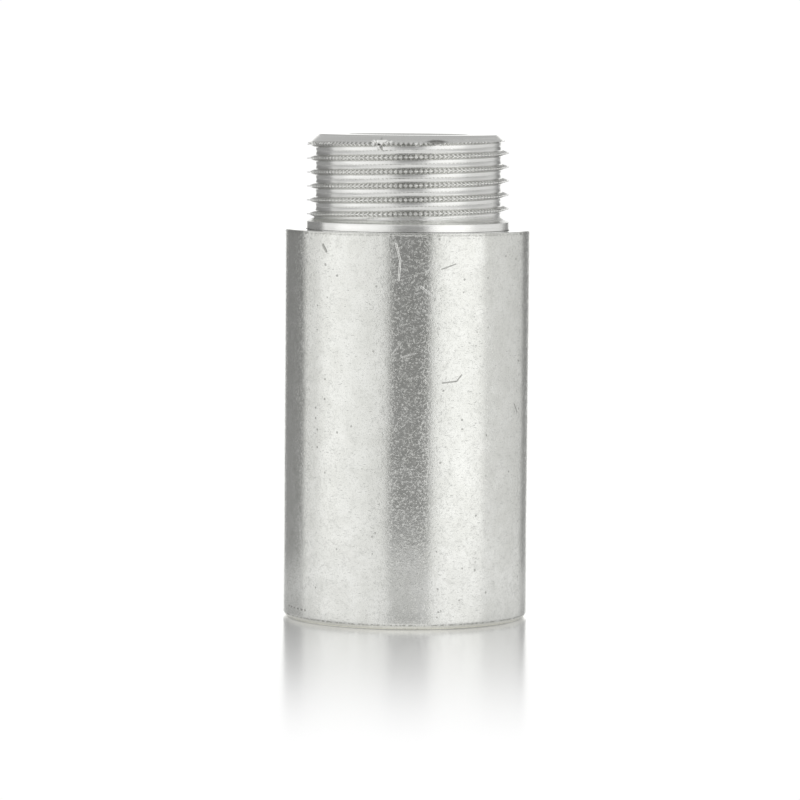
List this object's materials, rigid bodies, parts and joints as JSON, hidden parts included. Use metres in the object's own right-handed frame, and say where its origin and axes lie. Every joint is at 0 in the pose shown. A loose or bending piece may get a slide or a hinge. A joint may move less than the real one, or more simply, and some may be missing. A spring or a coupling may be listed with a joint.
{
  "type": "threaded pipe extension fitting",
  "caption": "Straight pipe extension: a long plain round sleeve with a female pipe thread at the foot and a short male threaded neck at the head, open right through for water.",
  "frame": {"origin": "centre of the foot's end face, on the fitting's axis", "axes": "+Z along the axis from the female foot to the male neck; +X and +Y across the round sleeve"},
  "size_m": [0.032, 0.032, 0.0632],
  "materials": {
    "barrel_metal": "tumbled plated metal, fine flaky speckle with many short random scratches",
    "neck_metal": "bright turned metal with a cut thread"
  },
  "bodies": {
    "root": {"extension_sleeve": "barrel_metal", "threaded_nipple": "neck_metal"}
  },
  "joints": []
}
